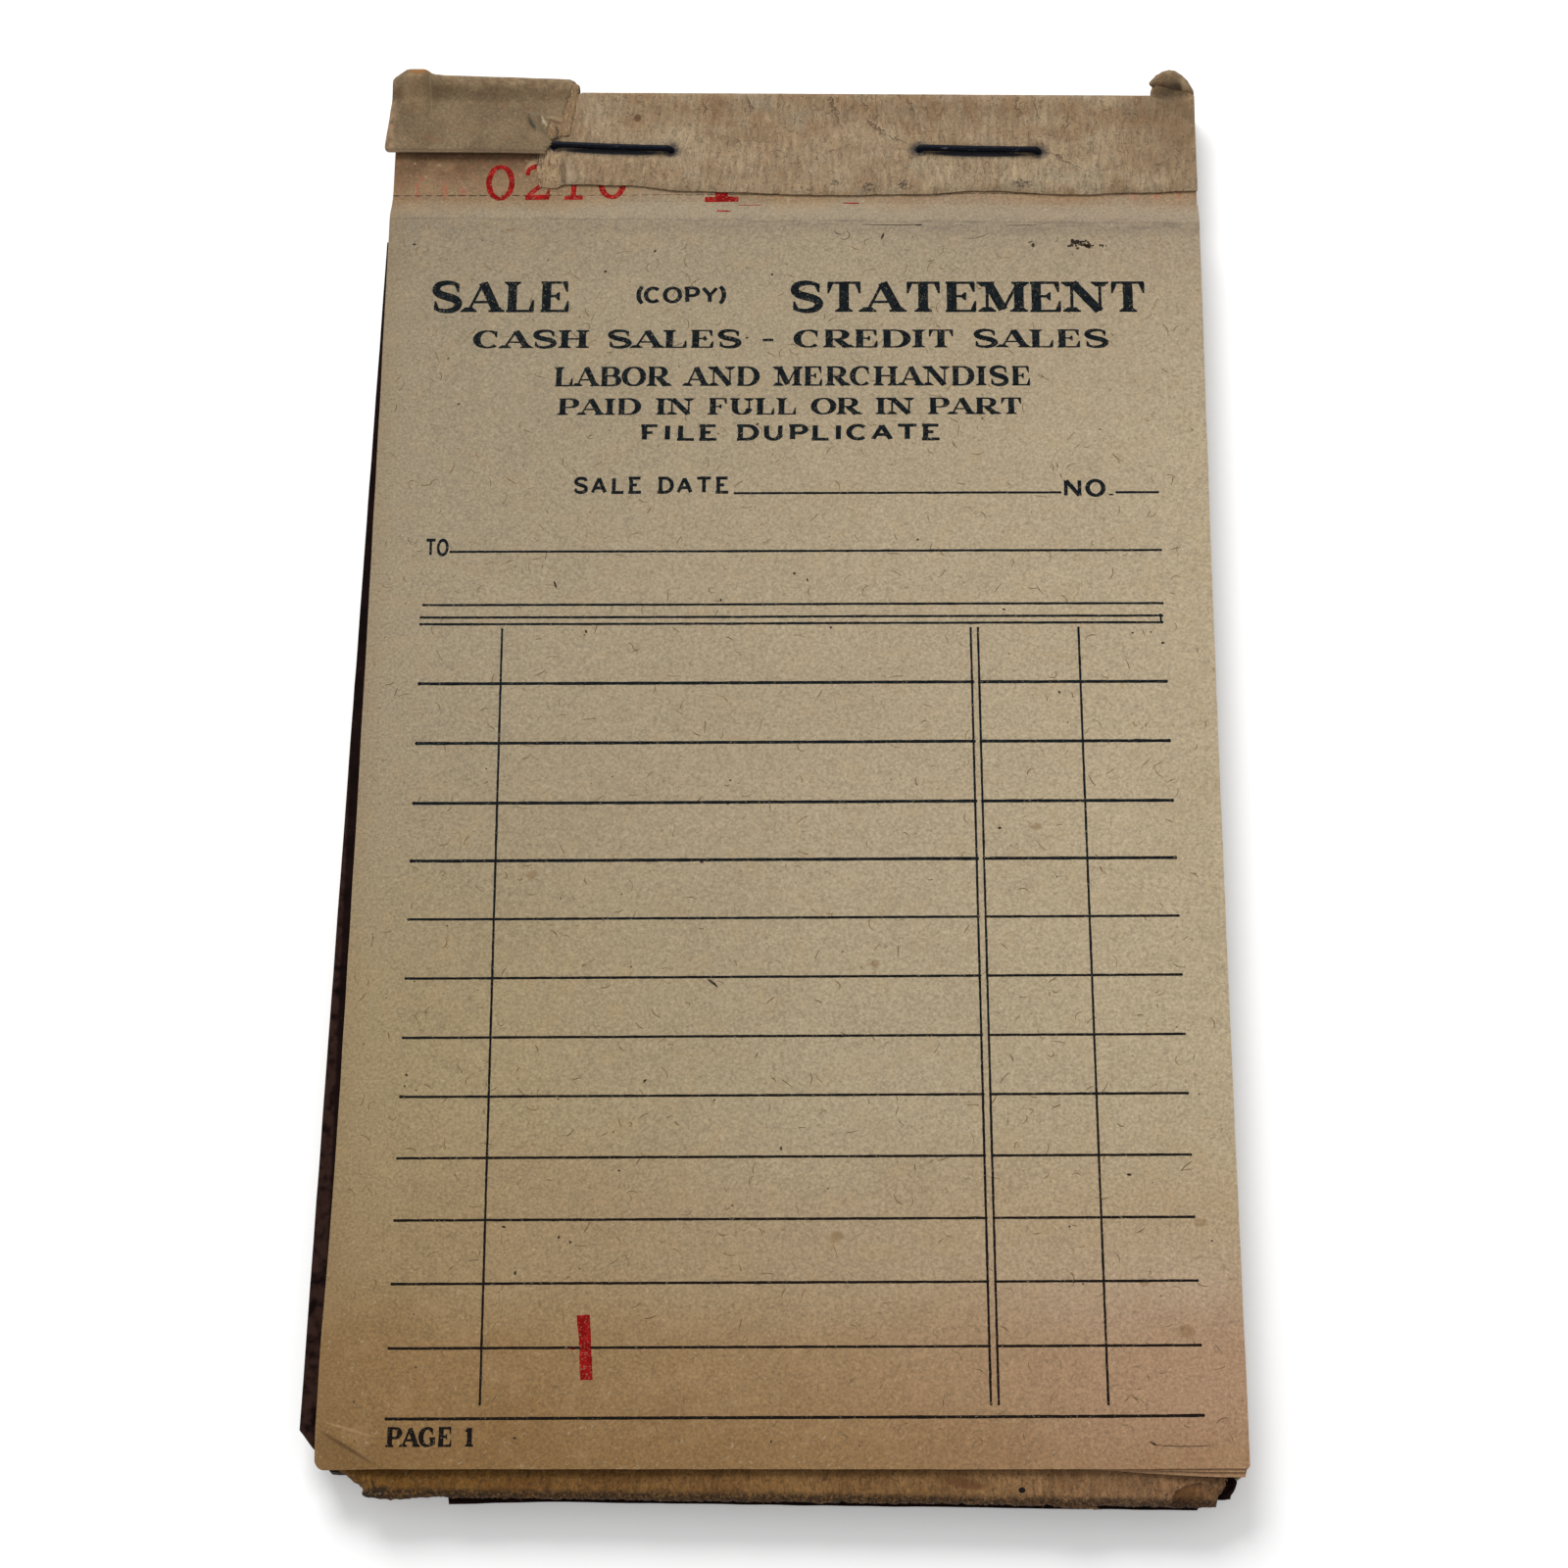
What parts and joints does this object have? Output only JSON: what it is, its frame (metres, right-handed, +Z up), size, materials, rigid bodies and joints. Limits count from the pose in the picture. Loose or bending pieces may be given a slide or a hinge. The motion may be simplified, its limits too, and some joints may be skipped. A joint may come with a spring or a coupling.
{
  "type": "receipt pad",
  "caption": "Used pocket receipt pad: ruled leaves that turn at a perforated, stapled head, with a loose writing board and carbon sheet between them.",
  "frame": {"origin": "the middle of the back cover's underside", "axes": "+X to the right of the pad, +Y towards its bound head, +Z up out of the printed face"},
  "size_m": [0.0909, 0.1618, 0.0073],
  "materials": {
    "leaf_paper": "buff uncoated printing paper with short fibres, inked in blue-black and red",
    "chipboard": "brown fibrous chipboard, worn at its foot",
    "carbon_paper": "waxy purple-black carbon coating",
    "binding_paper": "rough torn ply with long fibres",
    "wrap_paper": "smooth brown wrapping paper, scuffed",
    "cover_card": "plain brown card",
    "staple_wire": "blue-black oxidised wire"
  },
  "bodies": {
    "binding": {"back_cover": "cover_card", "binding_strip": "binding_paper", "staple_left": "staple_wire", "staple_right": "staple_wire", "wrap_corner": "wrap_paper", "wrap_left": "wrap_paper", "stub_01": "leaf_paper", "stub_02": "leaf_paper", "stub_03": "leaf_paper", "stub_04": "leaf_paper", "stub_05": "leaf_paper", "stub_06": "leaf_paper", "stub_07": "leaf_paper", "stub_08": "leaf_paper", "stub_09": "leaf_paper", "stub_10": "leaf_paper", "stub_11": "leaf_paper", "stub_12": "leaf_paper", "stub_13": "leaf_paper", "stub_14": "leaf_paper", "stub_15": "leaf_paper", "stub_16": "leaf_paper", "stub_17": "leaf_paper", "stub_18": "leaf_paper", "stub_19": "leaf_paper"},
    "block": {"leaf_04": "leaf_paper", "leaf_05": "leaf_paper", "leaf_06": "leaf_paper", "leaf_07": "leaf_paper", "leaf_08": "leaf_paper", "leaf_09": "leaf_paper", "leaf_10": "leaf_paper", "leaf_11": "leaf_paper", "leaf_12": "leaf_paper", "leaf_13": "leaf_paper", "leaf_14": "leaf_paper", "leaf_15": "leaf_paper", "leaf_16": "leaf_paper", "leaf_17": "leaf_paper", "leaf_18": "leaf_paper", "leaf_19": "leaf_paper"},
    "second_leaves": {"leaf_02": "leaf_paper", "leaf_03": "leaf_paper"},
    "top_leaf": {"leaf_01": "leaf_paper"},
    "board": {"writing_board": "chipboard"},
    "carbon": {"carbon_sheet": "carbon_paper"}
  },
  "joints": [
    {"name": "block_turn", "type": "hinge", "parent": "binding", "child": "block", "pos_m": [0, 0.064, 0.0045], "axis": [-0.9997, 0.0232, 0], "range_deg": [0, 20]},
    {"name": "second_leaves_turn", "type": "hinge", "parent": "block", "child": "second_leaves", "pos_m": [0, 0.064, 0.0045], "axis": [-0.9997, 0.0232, 0], "range_deg": [0, 40]},
    {"name": "top_leaf_turn", "type": "hinge", "parent": "second_leaves", "child": "top_leaf", "pos_m": [0, 0.064, 0.0045], "axis": [-0.9997, 0.0232, 0], "range_deg": [0, 100]},
    {"name": "board_pull", "type": "slide", "parent": "block", "child": "board", "axis": [0, -1, 0], "range_m": [0, 0.06]},
    {"name": "carbon_pull", "type": "slide", "parent": "block", "child": "carbon", "axis": [0, -1, 0], "range_m": [0, 0.04]}
  ]
}
